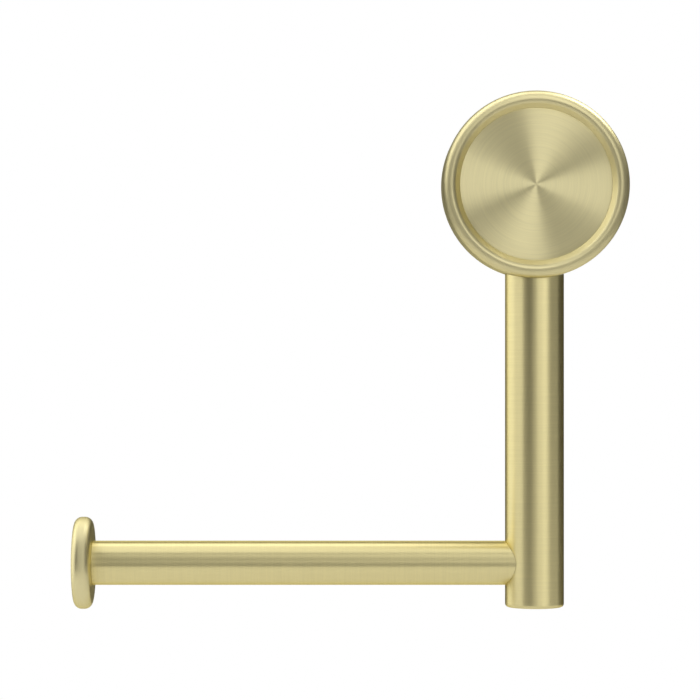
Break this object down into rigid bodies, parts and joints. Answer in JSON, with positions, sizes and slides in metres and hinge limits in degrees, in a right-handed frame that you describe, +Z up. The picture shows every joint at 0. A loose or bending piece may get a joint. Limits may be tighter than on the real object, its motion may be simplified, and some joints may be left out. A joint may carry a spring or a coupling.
{
  "type": "toilet paper holder",
  "caption": "Wall-mounted toilet paper holder: beaded round head on a post, drop tube and a side bar with a button end.",
  "frame": {"origin": "centre of the wall bracket's back face, on the wall", "axes": "+Z up, -Y out from the wall into the room, +Y into the wall; the bar points to -X"},
  "size_m": [0.1505, 0.105, 0.1404],
  "materials": {
    "brushed_brass": "satin, brushed, pale gold plated",
    "lathe_brushed_brass": "concentric lathe brushing, pale gold plated",
    "turned_brass": "bare, as turned",
    "cast_zinc": "bare die-cast zinc alloy, matt",
    "stainless_steel": "bare, bright",
    "nylon": "moulded nylon, matt",
    "rubber": "moulded nitrile, matt"
  },
  "bodies": {
    "wall_mount": {"wall_bracket": "cast_zinc", "wall_screw_left": "stainless_steel", "wall_screw_right": "stainless_steel", "wall_plug_left": "nylon", "wall_plug_right": "nylon"},
    "holder": {"wall_flange": "brushed_brass", "flange_screw": "stainless_steel", "flange_dowel": "stainless_steel", "post": "brushed_brass", "post_rear_plug": "turned_brass", "post_front_plug": "turned_brass", "drum_dowel": "stainless_steel", "drum": "brushed_brass", "drum_screw": "stainless_steel", "drum_screw_washer": "stainless_steel", "face_plate": "lathe_brushed_brass", "face_plate_ring": "rubber", "drop_tube": "brushed_brass", "drop_tube_plug": "turned_brass", "drop_tube_screw": "stainless_steel", "drop_tube_washer": "stainless_steel", "bar": "brushed_brass", "bar_root_spigot": "turned_brass", "bar_tip_plug": "turned_brass", "end_cap": "brushed_brass", "end_cap_stud": "stainless_steel"},
    "grub_screw": {"grub_screw": "stainless_steel"}
  },
  "joints": [
    {"name": "holder_slide", "type": "slide", "parent": "wall_mount", "child": "holder", "axis": [0, -1, 0], "range_m": [0, 0.014]},
    {"name": "grub_screw_travel", "type": "slide", "parent": "holder", "child": "grub_screw", "axis": [0, 0, -1], "range_m": [0, 0.003]}
  ]
}
